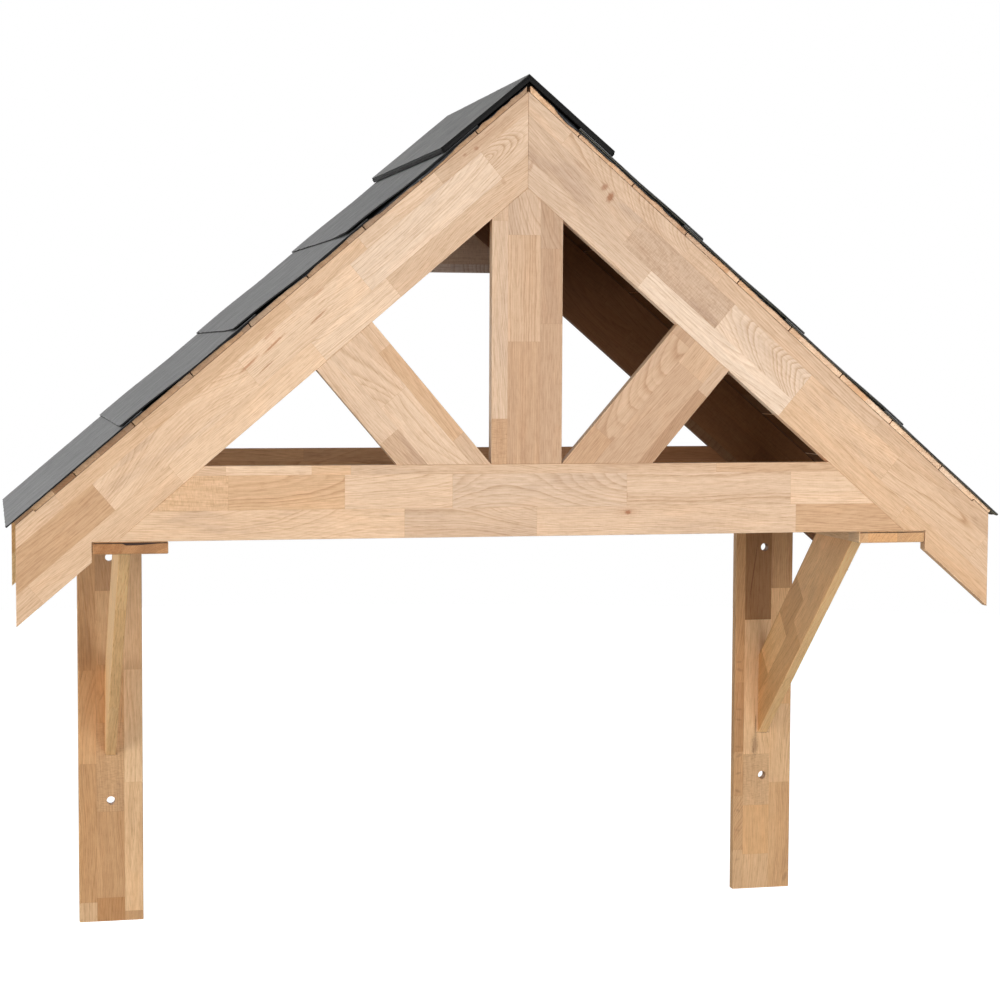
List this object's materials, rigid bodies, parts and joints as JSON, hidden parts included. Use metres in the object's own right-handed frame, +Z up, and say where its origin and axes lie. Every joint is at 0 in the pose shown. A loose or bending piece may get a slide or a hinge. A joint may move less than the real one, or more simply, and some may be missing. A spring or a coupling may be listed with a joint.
{
  "type": "porch canopy",
  "caption": "Wall-hung gabled porch canopy: oak trusses on gallows brackets, close boarded under a grey slated roof with a ridge cap.",
  "frame": {"origin": "middle of the rear tie beam's back face, which lies flat on the wall", "axes": "+X along the wall to the right seen from the front, +Y into the wall, +Z up; the canopy stands out towards -Y"},
  "size_m": [1.6898, 0.672, 1.5353],
  "materials": {
    "oak": "sanded laminated oak, unfinished",
    "oak_boarding": "planed oak boarding, darker underneath",
    "slate": "matt riven composite slate, mid grey with black edges",
    "ridge": "matt riven composite, mid grey with near-black edges",
    "underlay": "black plastic roofing membrane"
  },
  "bodies": {
    "root": {"front_rafter_left": "oak", "front_rafter_right": "oak", "front_king_post": "oak", "front_strut_left": "oak", "front_strut_right": "oak", "front_tie_beam": "oak", "rear_rafter_left": "oak", "rear_rafter_right": "oak", "rear_tie_beam": "oak", "rear_apex_gusset": "oak", "left_wall_plate": "oak", "left_bracket_arm": "oak", "left_bracket_brace": "oak", "right_wall_plate": "oak", "right_bracket_arm": "oak", "right_bracket_brace": "oak", "deck_board_left_1": "oak_boarding", "deck_board_left_2": "oak_boarding", "deck_board_left_3": "oak_boarding", "deck_board_left_4": "oak_boarding", "deck_board_left_5": "oak_boarding", "deck_board_left_6": "oak_boarding", "deck_board_left_7": "oak_boarding", "deck_board_left_8": "oak_boarding", "deck_board_left_9": "oak_boarding", "deck_board_right_1": "oak_boarding", "deck_board_right_2": "oak_boarding", "deck_board_right_3": "oak_boarding", "deck_board_right_4": "oak_boarding", "deck_board_right_5": "oak_boarding", "deck_board_right_6": "oak_boarding", "deck_board_right_7": "oak_boarding", "deck_board_right_8": "oak_boarding", "deck_board_right_9": "oak_boarding", "slate_course_left_1": "slate", "slate_course_left_2": "slate", "slate_course_left_3": "slate", "slate_course_left_4": "slate", "slate_course_right_1": "slate", "slate_course_right_2": "slate", "slate_course_right_3": "slate", "slate_course_right_4": "slate", "ridge_cap": "ridge", "underlay": "underlay"}
  },
  "joints": []
}
